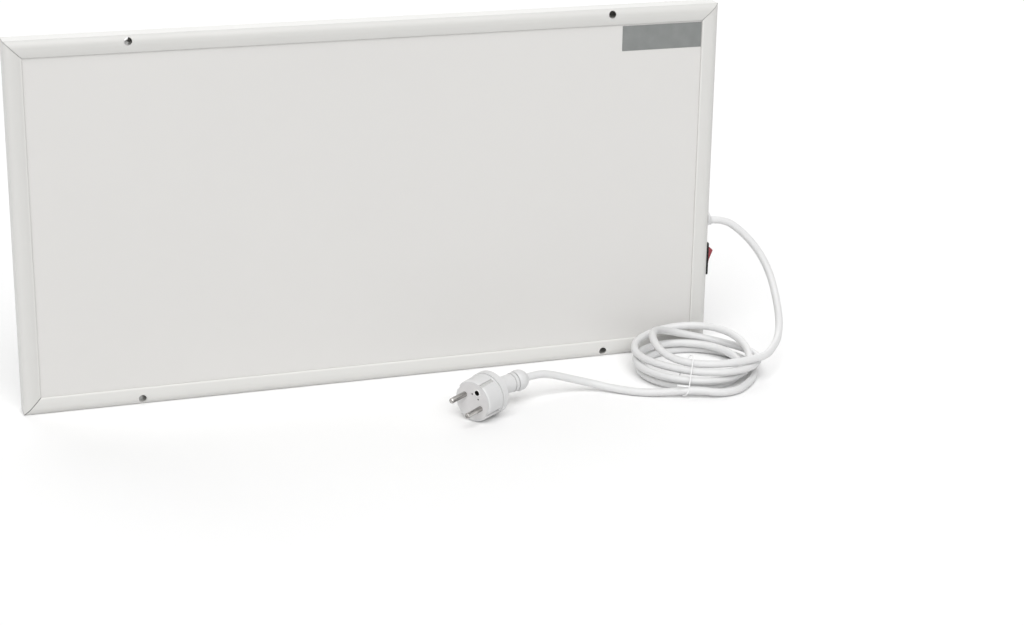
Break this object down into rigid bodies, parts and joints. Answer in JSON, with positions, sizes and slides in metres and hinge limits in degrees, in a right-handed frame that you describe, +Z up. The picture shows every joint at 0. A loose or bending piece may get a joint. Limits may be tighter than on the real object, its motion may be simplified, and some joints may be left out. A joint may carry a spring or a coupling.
{
  "type": "infrared panel heater",
  "caption": "Flat infrared panel heater in a mitred metal frame, standing on its edge, with a side rocker switch and a coiled mains cord ending in a two-pin plug.",
  "frame": {"origin": "middle of the frame's bottom face, halfway through its depth", "axes": "+X to the right seen from the front, +Y from the heating face towards the wall, +Z up"},
  "size_m": [0.6819, 0.1564, 0.3201],
  "materials": {
    "frame": "satin powder coat, light grey-white",
    "panel": "fine matt enamel, light grey-white",
    "rear_cover": "matt light grey coating",
    "corner_key": "die-cast aluminium",
    "screw": "zinc-plated steel",
    "film": "carbon-coated film",
    "busbar": "copper strip",
    "mica": "pressed mica",
    "foil": "bright foil",
    "insulation": "glass-wool board",
    "label": "matt grey foil, blank",
    "bezel": "black nylon",
    "rocker": "translucent red plastic",
    "contact": "plated brass",
    "connector": "nylon sleeve",
    "block": "polyamide",
    "cutout": "phenolic with steel cap",
    "gland": "white nylon",
    "cord": "smooth white PVC",
    "tie": "white paper and wire",
    "brown": "brown PVC",
    "blue": "blue PVC",
    "green": "green and yellow PVC",
    "sleeve": "glass-fibre sleeving",
    "plug": "moulded white PVC",
    "plug_face": "light grey polyamide",
    "pin": "nickel-plated brass"
  },
  "bodies": {
    "heater": {"busbars": "busbar", "coil_tie": "tie", "cord_arc": "cord", "cord_coil": "cord", "cord_gland": "gland", "cord_inlet": "cord", "cord_tail": "cord", "corner_keys": "corner_key", "corner_screws": "screw", "cutout_wire": "sleeve", "earth_lug": "contact", "earth_screw": "screw", "earth_wire": "green", "frame_bottom": "frame", "frame_left": "frame", "frame_right": "frame", "frame_top": "frame", "front_panel": "panel", "gland_clip": "connector", "heater_wire_lower": "blue", "heater_wire_upper": "sleeve", "heating_film": "film", "insulation_board": "insulation", "label_plate": "label", "lamp_wire": "blue", "live_wire": "brown", "mica_sheet": "mica", "neutral_wire": "blue", "plug_body": "plug", "plug_collar": "plug", "plug_earth_strips": "contact", "plug_face": "plug_face", "plug_pins": "pin", "rear_cover": "rear_cover", "reflector_foil": "foil", "spade_connectors": "connector", "switch_housing": "bezel", "switch_terminals": "contact", "switched_wire": "brown", "terminal_block": "block", "terminal_screws": "screw", "thermal_cutout": "cutout"},
    "rocker": {"switch_rocker": "rocker"}
  },
  "joints": [
    {"name": "rocker_tilt", "type": "hinge", "parent": "heater", "child": "rocker", "pos_m": [0.3072, 0, 0.0833], "axis": [0, -1, 0], "range_deg": [0, 30]}
  ]
}
